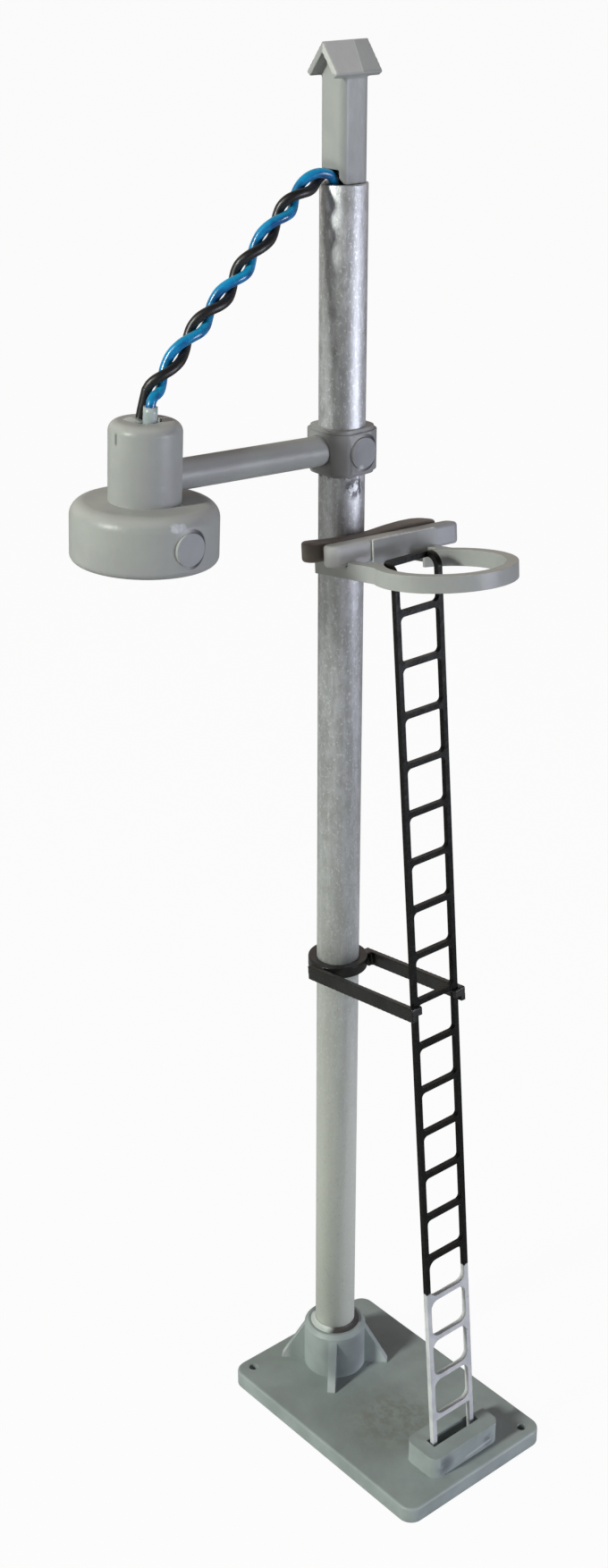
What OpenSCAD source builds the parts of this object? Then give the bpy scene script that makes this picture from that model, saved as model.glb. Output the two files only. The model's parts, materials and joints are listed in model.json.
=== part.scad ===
// Railway yard lamp mast, built up from a moulded base, a metal tube and push-on fittings.
// Millimetres, +Z up. The origin is on the mast axis, on the underside of the base.
// +X points from the mast to the foot of the ladder.

/* [Base] */
// Length of the base plate, along X
base_len = 27.1; // [24:0.1:33]
// Width of the base plate, along Y
base_wid = 18.3; // [15.5:0.1:24]
// Thickness of the base plate
base_thk = 1.7; // [1.4:0.1:2.4]
// Distance from the mast axis to the back edge of the base
base_back = 5.75; // [5:0.05:7]
// Radius of the vertical corners of the base
base_corner = 1.4; // [0.6:0.1:2]
// Rounding of the top edge of the base
base_edge = 0.3; // [0.1:0.05:0.5]
// Diameter of the two track pin holes
pin_hole_d = 0.9; // [0.6:0.05:1.2]
// Distance from a corner's two sides to a pin hole, along X and along Y
pin_inset = [1.35, 1.75]; // [0.8:0.05:2.2]

/* [Mast socket] */
// Outer diameter of the round mast socket
socket_d = 6.3; // [5.6:0.1:7]
// Height of the mast socket above the base plate
socket_h = 5.2; // [3:0.1:8]
// Bevel round the socket's rim
socket_bevel = 0.4; // [0.1:0.05:0.6]
// Distance from the mast axis to the tip of a socket rib
rib_reach = 5.5; // [4:0.1:7]
// Thickness of the four socket ribs
rib_thk = 0.8; // [0.5:0.05:1.2]
// Thickness of the ledge that the tube stands on
seat_thk = 0.7; // [0.5:0.05:1.1]
// Diameter of the wire exit through that ledge
wire_exit_d = 2.8; // [1.9:0.05:3]

/* [Ladder socket] */
// Distance from the mast axis to the ladder's foot, at the top of the base
ladder_foot_x = 17.75; // [16:0.05:18.2]
// Width of the ladder socket, along X
step_wid = 4.2; // [3.4:0.1:5]
// Length of the ladder socket, along Y
step_len = 8.9; // [7.8:0.1:11]
// Height of the ladder socket
step_h = 2.4; // [1.6:0.1:3.4]
// Radius of the socket's four upright corners
step_corner = 0.9; // [0.4:0.1:1.5]
// Gap round the ladder's feet in their slot
step_gap = 0.3; // [0.1:0.05:0.5]

/* [Mast tube] */
// Outer diameter of the mast tube
tube_od = 4; // [3.8:0.05:4.4]
// Wall of the mast tube
tube_wall = 0.45; // [0.3:0.05:0.5]
// Height of the tube's mouth above the underside of the base
tube_top = 121.5; // [121:0.1:122]
// Radial clearance of every part that slides on the tube
tube_fit = 0.02; // [0.01:0.01:0.08]

/* [Ladder] */
// Backward lean of the ladder, from the vertical
ladder_lean = 5.25; // [4.6:0.05:5.4]
// Outer width of the ladder
ladder_w = 5.46; // [5:0.02:6.2]
// Width of a ladder rail
rail_w = 0.5; // [0.44:0.02:0.9]
// Thickness of the ladder moulding
rail_t = 0.5; // [0.45:0.05:0.9]
// Height of a rung
rung_h = 0.52; // [0.44:0.02:1]
// Distance between rungs, measured along the ladder
rung_pitch = 4.524; // [4.3:0.01:4.7]
// Number of rungs below the hooked top
rung_count = 19; // [16:1:19]
// Distance of the lowest rung from the top of the base, along the ladder
rung_first = 5.04; // [4:0.02:6]
// Radius in the corners of the openings between rungs
rung_fillet = 0.45; // [0.2:0.05:1]
// Radius in the corners of the lowest openings, where paint fills them
low_fillet = 0.85; // [0.2:0.05:1]
// Number of those lowest openings
low_openings = 4; // [0:1:8]
// Height of the hook's bend above the top rung
hook_rise = 3.1; // [2:0.1:3.1]
// Straight reach of the hook past its bend, towards the mast
hook_reach = 0.5; // [0.3:0.1:0.5]

/* [Ladder stay] */
// Height of the stay's collar on the mast, at its middle
stay_z = 49.3; // [40:0.1:60]
// Height of the stay's strips
stay_h = 1.35; // [1:0.05:2]
// Rise of the stay towards the ladder
stay_rise = 6.9; // [0:0.1:9]
// Thickness of the stay's strips
stay_t = 0.55; // [0.4:0.05:0.8]
// Wall of the stay's collar
stay_wall = 0.8; // [0.5:0.05:0.8]
// Height of the stay's collar
stay_ring_h = 1.1; // [0.8:0.05:2]

/* [Platform] */
// Height on the mast axis of the plane that the platform bars lie on
platform_z = 90.8; // [90:0.1:91.4]
// Rise of the platform towards the hoop
platform_pitch = 7.4; // [6:0.1:8]
// Fall of the platform towards +Y
platform_roll = 2.9; // [0:0.1:4]
// Length of each platform bar
bar_len = 14.7; // [12:0.1:18]
// Height of each platform bar
bar_h = 1.85; // [1.2:0.05:2.4]
// Depth of each platform bar, away from the mast
bar_t = 1.75; // [1.4:0.05:1.8]
// Radius of the bars' rounded ends
bar_end_r = 0.8; // [0.3:0.05:0.85]

/* [Safety hoop] */
// Outer radius of the hoop
hoop_r = 6.1; // [6:0.1:6.8]
// Width of the hoop's band, seen from above
hoop_w = 1.05; // [0.8:0.05:1.3]
// Height of the hoop's band
hoop_h = 1.4; // [1:0.05:2]
// Distance from the mast axis to the hoop's centre
hoop_x = 12.1; // [11.6:0.1:13]
// Sideways offset of the hoop
hoop_y = 0.85; // [0.4:0.05:1]

/* [Lamp] */
// Height on the mast axis of the lamp arm's centre line
lamp_z = 99.65; // [98:0.05:101]
// Distance from the mast axis to the lamp's axis
lamp_reach = 20.75; // [18:0.05:24]
// Rise of the lamp arm, away from the mast
arm_rise = 2.9; // [0:0.1:3.5]
// Diameter of the lamp arm
arm_d = 2.55; // [1.8:0.05:3]
// Width across the flats of the lamp collar
collar_w = 5.1; // [5:0.05:5.8]
// Radius of the collar's upright corners
collar_corner = 1.6; // [0.8:0.05:2]
// Height of the lamp collar
collar_h = 4.0; // [3.4:0.1:5]
// Diameter of the raised disc on the collar
disc_d = 2.7; // [2:0.1:3]
// Diameter of the lamp's chimney
chimney_d = 5.9; // [5.4:0.1:6.4]
// Height of the chimney's top above the arm's centre line
chimney_top = 4.8; // [4.6:0.1:6]
// Inner diameter of the chimney
chimney_bore = 4.0; // [3.9:0.05:4.4]
// Diameter of the hole that the wires enter by
gland_d = 2.6; // [2.4:0.05:3]
// Outer diameter of the lamp's drum
drum_d = 12.0; // [10.5:0.1:14]
// Depth of the drum's shoulder below the arm's centre line
drum_top = 1.6; // [1.4:0.05:2]
// Height of the drum
drum_h = 4.9; // [4:0.05:6]
// Wall of the drum
drum_wall = 0.75; // [0.5:0.05:1]
// Radius of the drum's upper edge
drum_round = 1.25; // [0.8:0.05:1.3]

/* [Light and wires] */
// Diameter of the light emitting diode's dome
led_d = 3.0; // [2.6:0.1:3.2]
// Diameter of its flange
led_flange_d = 3.8; // [3.4:0.05:3.85]
// Diameter of each insulated wire
wire_d = 0.8; // [0.7:0.05:0.9]
// Outer diameter of the insulating sleeves
sleeve_d = 1.2; // [1.1:0.05:1.2]

/* [Finial] */
// Width of the finial's square post
post_w = 2.9; // [2.6:0.05:3]
// Radius of the post's corners
post_corner = 0.6; // [0.2:0.05:0.7]
// Height of the post, from the tube's mouth to the roof's eaves
post_h = 8.45; // [6:0.1:12]
// Length of the roof's ridge
roof_len = 4.8; // [4:0.1:6]
// Width of the roof, from eave to eave
roof_wid = 3.7; // [3.5:0.1:5]
// Height of the roof, from the eaves to the ridge
roof_rise = 2.4; // [1.6:0.05:3]
// Thickness of the roof's slabs, measured upright
roof_thk = 0.85; // [0.5:0.05:1.2]
// Length of the plug in the tube's mouth
plug_len = 6; // [4:0.1:9]

/* [Hidden] */
$fn = 48;
eps = 0.01;
base_mid_x = base_len / 2 - base_back;
tube_r = tube_od / 2;
bore_r = tube_r - tube_wall;
fit_r = tube_r + tube_fit;
wire_r = wire_d / 2;
lean_slope = tan(ladder_lean);
ladder_half = ladder_w / 2;
rail_y = ladder_half - rail_w / 2;
ladder_len = rung_first + (rung_count - 1) * rung_pitch + hook_rise;
step_floor = 0.2;
step_x = ladder_foot_x - lean_slope * step_h / 2;
hook_r = 1;
hook_corner = 0.9;
hook_bar = 0.76;
foot_end = step_floor + rail_t * lean_slope;
platform_tilt = [-platform_roll, -platform_pitch, 0];
rear_x = tube_r + sin(platform_pitch) * bar_h + 0.06;
front_x = rear_x + bar_t + 0.1;
front_drop = 0.35;
front_face = front_x + bar_t + 0.02;
flange_y = -1.7;
flange_len = 7.3;
flange_t = 0.25;
hook_gap = 0.15;
lamp_tilt = [-arm_rise, 0, 0];
drum_bottom = drum_top + drum_h;
drum_roof = 0.55;
led_tip = -4.6;
led_base = 0.7;
leg_pitch = 2.54;
leg_w = 0.5;
leg_top = 2.6;
joint_bottom = 1.9;
wire_low = 1.3;
joint_d = 0.84;
sleeve_bore_r = max(wire_d, joint_d) / 2 + 0.04;
bend_low = 3.1;
bend_high = 3.75;
strand_x = 0.64;

// Relief in the post's foot, where the wires come out: height, slant and dip of its face
relief_h = 0.72;
relief_slant = 9;
relief_dip = 45;
// Pocket behind the relief, for the wires' bend: its low corner and its size
pocket_low = [-1.22, -2, -0.1];
pocket_size = [2.15, 2.4, 1.22];
plug_flat = 0.55;

// Centre line of the wire pair: up out of the lamp, over the rim and into the tube
pair_route = [
    [0, -20.1, 107.3], [0, -19.45, 107.9], [0, -18.6, 108.7], [0, -16.3, 110.95], [0, -14, 112.9],
    [0, -11.5, 114.95], [0, -9.8, 116.65], [0, -7, 119.2], [0, -5.3, 120.7], [0, -4.1, 121.5],
    [-0.05, -3, 122.05], [-0.1, -2.1, 122.2], [-0.18, -1.45, 122.12], [-0.25, -0.9, 121.78],
    [-0.28, -0.65, 121.2], [-0.3, -0.58, 120.4]
];
// How far the pair is wound, in degrees, at distances along that line
pair_turns = [
    [0, 0], [1.9, 135], [5.3, 315], [8.3, 495], [11.4, 675], [14.2, 855], [17.5, 1035], [20.1, 1215],
    [22.3, 1350], [24, 1440], [25.2, 1500], [26.2, 1560], [40, 1560]
];

// ---------- shared shapes ----------

// A flat plate with round upright corners, centred on X and Y
module rounded_slab(len, wid, thk, r) {
    linear_extrude(thk) rounded_rect(len, wid, r);
}

module rounded_rect(len, wid, r) {
    square([len - 2 * r, wid], center = true);
    square([len, wid - 2 * r], center = true);
    for (x = [-1, 1], y = [-1, 1])
        translate([x * (len / 2 - r), y * (wid / 2 - r)]) circle(r);
}

// Points and directions at equal steps along a smooth curve through a list of points
function smooth(p0, p1, p2, p3, t) =
    0.5 * (2 * p1 + (p2 - p0) * t + (2 * p0 - 5 * p1 + 4 * p2 - p3) * t * t
        + (3 * p1 - p0 - 3 * p2 + p3) * t * t * t);
function knot(list, n) = list[max(0, min(len(list) - 1, n))];
function curve(list, steps) = [
    for (n = [0 : len(list) - 2], k = [0 : steps - 1])
        smooth(knot(list, n - 1), knot(list, n), knot(list, n + 1), knot(list, n + 2), k / steps),
    list[len(list) - 1]
];
function heading(list, n) =
    let (d = knot(list, n + 1) - knot(list, n - 1)) d / norm(d);
function travelled(list, n) = n == 0 ? 0 : travelled(list, n - 1) + norm(list[n] - list[n - 1]);

// A tube of eight sides through a list of points
module swept_tube(line, r, sides = 8) {
    rings = [
        for (n = [0 : len(line) - 1])
            let (d = heading(line, n),
                side = cross(d, abs(d[0]) > 0.9 ? [0, 1, 0] : [1, 0, 0]),
                u = side / norm(side), v = cross(d, u))
            for (k = [0 : sides - 1]) line[n] + r * (cos(360 * k / sides) * u + sin(360 * k / sides) * v)
    ];
    last = (len(line) - 1) * sides;
    skin = [
        for (n = [0 : len(line) - 2], k = [0 : sides - 1])
            let (a = n * sides + k, b = n * sides + (k + 1) % sides)
            each [[a, b + sides, b], [a, a + sides, b + sides]]
    ];
    caps = [
        for (k = [1 : sides - 2]) each [[0, k, k + 1], [last, last + k + 1, last + k]]
    ];
    polyhedron(points = rings, faces = concat(skin, caps), convexity = 6);
}

// ---------- base ----------

module base_moulding() {
    color([0.50, 0.54, 0.54]) difference() {
        union() {
            base_plate();
            translate([0, 0, base_thk - eps]) mast_socket();
            for (turn = [45 : 90 : 315]) rotate(turn) socket_rib();
            translate([step_x, 0, 0]) rounded_slab(step_wid, step_len, base_thk + step_h, step_corner);
        }
        translate([0, 0, seat_thk]) cylinder(h = base_thk + socket_h, r = fit_r);
        translate([0, 0, -eps]) cylinder(h = seat_thk + 2 * eps, d = wire_exit_d);
        for (side = [-1, 1]) translate([base_mid_x, 0, -eps])
            translate([side * (base_len / 2 - pin_inset[0]), side * (base_wid / 2 - pin_inset[1]), 0])
                cylinder(h = base_thk + 2 * eps, d = pin_hole_d);
        translate([step_x, 0, base_thk + step_floor]) linear_extrude(step_h)
            square([rail_t + 2 * step_gap, ladder_w + 2 * step_gap], center = true);
    }
}

// The plate, with a quarter round along its top edge
module base_plate() {
    translate([base_mid_x, 0, 0]) hull() {
        corner_discs(0, 0);
        for (turn = [0 : 22.5 : 90])
            corner_discs(base_edge * (1 - cos(turn)), base_thk - base_edge * (1 - sin(turn)) - eps);
    }
}

module corner_discs(cut, height) {
    for (x = [-1, 1], y = [-1, 1])
        translate([x * (base_len / 2 - base_corner), y * (base_wid / 2 - base_corner), height])
            cylinder(h = eps, r = base_corner - cut, $fn = 32);
}

module mast_socket() {
    cylinder(h = socket_h - socket_bevel, d = socket_d);
    translate([0, 0, socket_h - socket_bevel])
        cylinder(h = socket_bevel, d1 = socket_d, d2 = socket_d - 2 * socket_bevel);
}

module socket_rib() {
    root = tube_r + 0.5;
    shoulder = socket_h - socket_bevel - 0.12;
    translate([0, rib_thk / 2, base_thk - 2 * eps]) rotate([90, 0, 0]) linear_extrude(rib_thk)
        polygon([
            [root, 0], [rib_reach, 0], [rib_reach, 0.25], [socket_d / 2 - 0.12, shoulder], [root, shoulder]
        ]);
}

// ---------- mast ----------

module mast_tube() {
    color([0.66, 0.67, 0.69]) translate([0, 0, seat_thk]) difference() {
        cylinder(h = tube_top - seat_thk, r = tube_r);
        translate([0, 0, -eps]) cylinder(h = tube_top - seat_thk + 2 * eps, r = bore_r);
    }
}

// A bead of cement in the corner between the tube and the socket's rim
module mast_cement() {
    color([0.62, 0.66, 0.63]) translate([0, 0, base_thk + socket_h]) rotate_extrude()
        polygon([[fit_r, 0.01], [fit_r + 0.5, 0.01], [fit_r + 0.15, 0.18], [fit_r, 0.42]]);
}

// ---------- ladder ----------

// Places its children in the ladder's own frame: foot at the top of the base, +Z up the ladder
module on_ladder() {
    translate([ladder_foot_x, 0, base_thk]) rotate([0, -ladder_lean, 0]) children();
}

module ladder() {
    color([0.06, 0.06, 0.06]) on_ladder() {
        translate([rail_t / 2, 0, 0]) rotate([0, -90, 0]) linear_extrude(rail_t) ladder_outline();
        for (side = [-1, 1]) translate([0, side * rail_y, ladder_len]) hook_bend();
        translate([-hook_r, 0, ladder_len + hook_r - rail_t / 2]) linear_extrude(rail_t) hook_end();
    }
}

// The flat part of the moulding: two rails with the openings between the rungs cut out
module ladder_outline() {
    difference() {
        translate([foot_end, -ladder_half]) square([ladder_len - foot_end, ladder_w]);
        translate([0, -ladder_half + rail_w]) ladder_opening(rung_first - rung_h / 2, 0.1);
        for (n = [0 : rung_count - 1])
            translate([rung_first + n * rung_pitch + rung_h / 2, -ladder_half + rail_w])
                ladder_opening(n < rung_count - 1 ? rung_pitch - rung_h : hook_rise + hook_bar, opening_r(n));
    }
}

function opening_r(n) = n < low_openings ? low_fillet : rung_fillet;

module ladder_opening(len, r) {
    wid = ladder_w - 2 * rail_w;
    translate([len / 2, wid / 2]) rounded_rect(len, wid, r);
}

// One rail's bend towards the mast
module hook_bend() {
    translate([-hook_r, rail_w / 2, 0]) rotate([90, 0, 0]) intersection() {
        rotate_extrude() translate([hook_r - rail_t / 2, 0]) square([rail_t, rail_w]);
        translate([-eps, -eps, 0]) cube([2 * hook_r, 2 * hook_r, rail_w]);
    }
}

// The closed end of the hook, with round corners
module hook_end() {
    translate([-hook_reach, -ladder_half]) intersection() {
        difference() {
            translate([2, ladder_half]) rounded_rect(4, ladder_w, hook_corner);
            translate([2 + hook_bar, ladder_half])
                rounded_rect(4, ladder_w - 2 * rail_w, hook_corner - rail_w + 0.1);
        }
        square([hook_reach + eps, ladder_w]);
    }
}

// ---------- ladder stay ----------

stay_arm_y = ladder_half + 0.03;
stay_front = 0.03 + (ladder_foot_x + rail_t / 2 / cos(ladder_lean) - lean_slope * (stay_z - base_thk))
    / (1 + lean_slope * tan(stay_rise)) / cos(stay_rise);
stay_starts = [-0.5, 0.7];

// A collar on the tube and two strips outside the ladder's rails, clipped over their fronts
module ladder_stay() {
    color([0.07, 0.07, 0.07]) difference() {
        translate([0, 0, stay_z]) {
            translate([0, 0, -0.15]) cylinder(h = stay_ring_h, r = fit_r + stay_wall);
            rotate([0, -stay_rise, 0]) for (side = [-1, 1]) {
                start = stay_starts[side > 0 ? 1 : 0];
                stay_bar(start, side * (stay_arm_y + stay_t / 2), stay_front + 0.35 - start, stay_t);
                stay_bar(start, side * (stay_arm_y + fit_r + 0.3) / 2, 1.1, stay_arm_y - fit_r - 0.3 + eps);
                translate([stay_front, side * (stay_arm_y - 0.35) - 0.355, -0.2]) cube([0.35, 0.71, 0.8]);
            }
        }
        translate([0, 0, stay_z - 2 * stay_h]) cylinder(h = 4 * stay_h, r = fit_r);
    }
}

module stay_bar(start, middle_y, len, wid) {
    translate([start, middle_y - wid / 2, -stay_h / 2]) cube([len, wid, stay_h]);
}

// ---------- platform and hoop ----------

module on_platform() {
    translate([0, 0, platform_z]) rotate(platform_tilt) children();
}

module platform_bar(drop, shift) {
    translate([bar_t / 2, shift, -drop]) rounded_slab(bar_t, bar_len, bar_h, bar_end_r);
}

module platform_rear_bar() {
    color([0.40, 0.37, 0.34]) on_platform() translate([rear_x, 0, 0.02]) platform_bar(0, 0.55);
}

module platform_front_bar() {
    color([0.58, 0.59, 0.60]) on_platform() translate([front_x, 0, 0.02]) platform_bar(front_drop, 1.4);
}

// A flat plate hugs the tube under the bars and runs out into the half-round hoop
module safety_hoop() {
    near_edge = hoop_y - hoop_r + 0.75;
    far_edge = hoop_y + hoop_r - 1.45;
    near_run = 3.3;
    far_run = 2.2;
    color([0.66, 0.67, 0.66]) difference() {
        on_platform() difference() {
            translate([0, 0, -hoop_h]) union() {
                intersection() {
                    translate([hoop_x, hoop_y, 0]) difference() {
                        cylinder(h = hoop_h, r = hoop_r);
                        translate([0, 0, -eps]) cylinder(h = hoop_h + 2 * eps, r = hoop_r - hoop_w);
                    }
                    translate([hoop_x - hoop_r + 1.2, -10, 0]) cube([30, 20, hoop_h]);
                }
                for (arm = [[near_edge, near_run], [far_edge - hoop_w, far_run]])
                    translate([front_x - 0.6, arm[0], 0])
                        cube([hoop_x - hoop_r + arm[1] - front_x + 0.6, hoop_w, hoop_h]);
                translate([front_face, flange_y, hoop_h - front_drop - 0.2])
                    cube([flange_t, flange_len, bar_h + 0.2]);
                translate([tube_r - 0.3, near_edge, 0])
                    cube([front_x - tube_r + 0.3, far_edge - near_edge, hoop_h]);
            }
            translate([front_x - 0.1, -12, -front_drop]) cube([front_face - front_x + 0.1, 24, bar_h]);
            translate([front_face + flange_t, -ladder_half - hook_gap, -hoop_h - eps])
                cube([4, ladder_w + 2 * hook_gap, 2 * hoop_h]);
        }
        cylinder(h = 2 * platform_z, r = fit_r);
    }
}

// ---------- lamp ----------

module on_arm() {
    translate([0, 0, lamp_z]) rotate(lamp_tilt) children();
}

module at_lamp() {
    on_arm() translate([0, -lamp_reach, 0]) children();
}

module lamp_collar() {
    color([0.56, 0.57, 0.58]) difference() {
        translate([0, 0, lamp_z - collar_h / 2]) {
            translate([0, 0, 0.3]) rounded_slab(collar_w, collar_w, collar_h - 0.6, collar_corner);
            rounded_slab(collar_w - 0.5, collar_w - 0.5, collar_h, collar_corner - 0.25);
            translate([collar_w / 2 - 0.3, 0.15, collar_h / 2]) rotate([0, 90, 0])
                cylinder(h = 0.48, d = disc_d);
        }
        translate([0, 0, lamp_z - collar_h]) cylinder(h = 2 * collar_h, r = fit_r);
        on_arm() rotate([90, 0, 0]) cylinder(h = collar_w, d = arm_d + 0.04);
    }
}

// One moulding: arm, chimney and drum, hollow for the light and its legs
module lamp_housing() {
    color([0.58, 0.60, 0.59]) difference() {
        at_lamp() difference() {
            union() {
                rotate_extrude() lamp_profile();
                translate([0, chimney_bore / 2 + 0.2, 0]) rotate([-90, 0, 0])
                    cylinder(h = lamp_reach - tube_r - chimney_bore / 2 - 0.35, d = arm_d);
                translate([0, 0, -drum_top - 2.6]) rotate([0, 90, 0])
                    cylinder(h = drum_d / 2 + 0.12, d = disc_d);
            }
            translate([0, 0, -drum_top - drum_roof])
                cylinder(h = chimney_top + drum_top + drum_roof - 0.8, d = chimney_bore);
            translate([0, 0, chimney_top - 1]) cylinder(h = 2, d = gland_d);
            translate([0, 0, -drum_bottom - 1])
                cylinder(h = drum_h + 1 - drum_roof, r = drum_d / 2 - drum_wall);
        }
        cylinder(h = 2 * lamp_z, r = fit_r + 0.05);
    }
}

module lamp_profile() {
    r = drum_d / 2;
    top_r = 0.85;
    low_r = 0.6;
    square([chimney_d / 2 - top_r, chimney_top]);
    translate([0, -drum_top - drum_roof]) square([chimney_d / 2, chimney_top - top_r + drum_top + drum_roof]);
    translate([chimney_d / 2 - top_r, chimney_top - top_r]) circle(top_r);
    translate([0, -drum_bottom + low_r]) square([r, drum_h - drum_round - low_r]);
    translate([0, -drum_bottom]) square([r - low_r, drum_h - drum_round]);
    translate([r - low_r, -drum_bottom + low_r]) circle(low_r);
    translate([0, -drum_top - drum_round - eps]) square([r - drum_round, drum_round + eps]);
    translate([r - drum_round, -drum_top - drum_round]) circle(drum_round);
}

// ---------- light and wires ----------

module led_body() {
    color([0.92, 0.93, 0.88]) at_lamp() {
        translate([0, 0, led_base - 1]) cylinder(h = 1, d = led_flange_d);
        translate([0, 0, led_tip + led_d / 2])
            cylinder(h = led_base - led_tip - led_d / 2 - 0.5, d = led_d);
        translate([0, 0, led_tip + led_d / 2]) sphere(d = led_d);
    }
}

module led_leg(side) {
    color([0.75, 0.76, 0.78]) at_lamp() {
        translate([side * leg_pitch / 2, 0, (led_base + leg_top) / 2 + 0.005])
            cube([leg_w, leg_w, leg_top - led_base - 0.01], center = true);
    }
}

module led_anode_leg() {
    led_leg(1);
}

module led_cathode_leg() {
    led_leg(-1);
}

// A blob of solder round the top of each leg
module solder_joints() {
    color([0.70, 0.71, 0.73]) at_lamp() for (side = [-1, 1])
        translate([side * leg_pitch / 2, 0, joint_bottom]) difference() {
            cylinder(h = leg_top - joint_bottom + 0.25, d = joint_d);
            translate([0, 0, (leg_top - joint_bottom) / 2 - 0.5])
                cube([leg_w + 0.02, leg_w + 0.02, leg_top - joint_bottom + 1], center = true);
        }
}

// A point inside the lamp, at a height above the arm's centre line
function in_lamp(x, h) = [
    x, -lamp_reach * cos(arm_rise) + h * sin(arm_rise),
    lamp_z + lamp_reach * sin(arm_rise) + h * cos(arm_rise)
];

// Way of one strand from its leg, through the gland
function strand_start(side, low) = [
    in_lamp(side * leg_pitch / 2, low), in_lamp(side * leg_pitch / 2, bend_low),
    in_lamp(side * strand_x, bend_high), in_lamp(side * strand_x, 6.2)
];

module sleeve(side, top) {
    route = concat([in_lamp(side * leg_pitch / 2, joint_bottom - 0.5)],
        [strand_start(side, 0)[1], strand_start(side, 0)[2]], [in_lamp(side * strand_x, top)]);
    bore = concat([route[0] - [0, 0, 0.2]], [route[1], route[2]], [route[3] + [0, 0, 0.2]]);
    difference() {
        swept_tube(route, sleeve_d / 2);
        swept_tube(bore, sleeve_bore_r);
    }
}

module white_sleeve() {
    color([0.80, 0.83, 0.83]) sleeve(1, 5.95);
}

module black_sleeve() {
    color([0.05, 0.05, 0.05]) sleeve(-1, 4.3);
}

// The pair's centre line cut into equal steps, each with its distance from the start
pair_fine = curve(pair_route, 6);
pair_marks = [for (n = [0 : len(pair_fine) - 1]) travelled(pair_fine, n)];
pair_len = pair_marks[len(pair_marks) - 1];
pair_steps = 28;
strand_gap = wire_r + 0.055;

function mark_below(s, n = 0) =
    n >= len(pair_marks) - 2 || pair_marks[n + 1] > s ? n : mark_below(s, n + 1);
function pair_point(s) =
    let (n = mark_below(s), f = (s - pair_marks[n]) / (pair_marks[n + 1] - pair_marks[n]))
    pair_fine[n] * (1 - f) + pair_fine[n + 1] * f;
function pair_turn(s) = lookup(s, pair_turns);

// One strand winds round the centre line and then runs straight down inside the tube
function strand(phase) = [
    for (k = [0 : pair_steps])
        let (s = pair_len * k / pair_steps, n = mark_below(s), d = heading(pair_fine, n),
            across = cross(d, [1, 0, 0]), turn = pair_turn(s) + phase)
        pair_point(s) + strand_gap * (cos(turn) * [1, 0, 0] + sin(turn) * across / norm(across))
];

module wire(side, phase) {
    wound = strand(phase);
    foot = wound[pair_steps];
    tail = [for (z = [119.4, wire_low]) [foot[0], foot[1], z]];
    swept_tube(concat(strand_start(side, leg_top + 0.3), wound, tail), wire_r);
}

module blue_wire() {
    color([0.05, 0.38, 0.66]) wire(1, 0);
}

module black_wire() {
    color([0.05, 0.05, 0.05]) wire(-1, 180);
}

// ---------- finial ----------

module finial() {
    plug_r = bore_r - tube_fit;
    color([0.56, 0.58, 0.57]) translate([0, 0, tube_top + 0.01]) {
        difference() {
            rounded_slab(post_w, post_w, post_h - 0.2, post_corner);
            translate([0, -post_w / 2, relief_h]) rotate([0, relief_slant, 0]) rotate([-relief_dip, 0, 0])
                translate([-5, -5, -10]) cube(10);
            translate(pocket_low) cube(pocket_size);
        }
        translate([0, 0, -plug_len]) intersection() {
            cylinder(h = plug_len + 0.6, r = plug_r);
            translate([-plug_r, plug_flat, 0]) cube([2 * plug_r, plug_r, plug_len + 0.6]);
        }
        translate([0, post_w / 2, post_h]) rotate([90, 0, 0]) linear_extrude(post_w) polygon([
            [-post_w / 2, -0.25], [post_w / 2, -0.25], [post_w / 2, -0.2], [0, roof_rise - roof_thk + 0.05],
            [-post_w / 2, -0.2]
        ]);
        translate([0, roof_len / 2, post_h]) rotate([90, 0, 0]) linear_extrude(roof_len) roof_outline();
    }
}

module roof_outline() {
    slope = atan(roof_rise / (roof_wid / 2));
    thk = roof_thk * cos(slope);
    eave = [roof_wid / 2 - thk * sin(slope), -thk * cos(slope)];
    polygon([
        [-roof_wid / 2, 0], [0, roof_rise], [roof_wid / 2, 0], eave, [0, roof_rise - roof_thk],
        [-eave[0], eave[1]]
    ]);
}

base_moulding();
mast_tube();
mast_cement();
ladder();
ladder_stay();
platform_rear_bar();
platform_front_bar();
safety_hoop();
lamp_collar();
lamp_housing();
led_body();
led_anode_leg();
led_cathode_leg();
solder_joints();
white_sleeve();
black_sleeve();
blue_wire();
black_wire();
finial();
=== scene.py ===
import json
import math

import bmesh
import bpy
import numpy as np
from mathutils import Euler, Matrix, Vector


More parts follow.
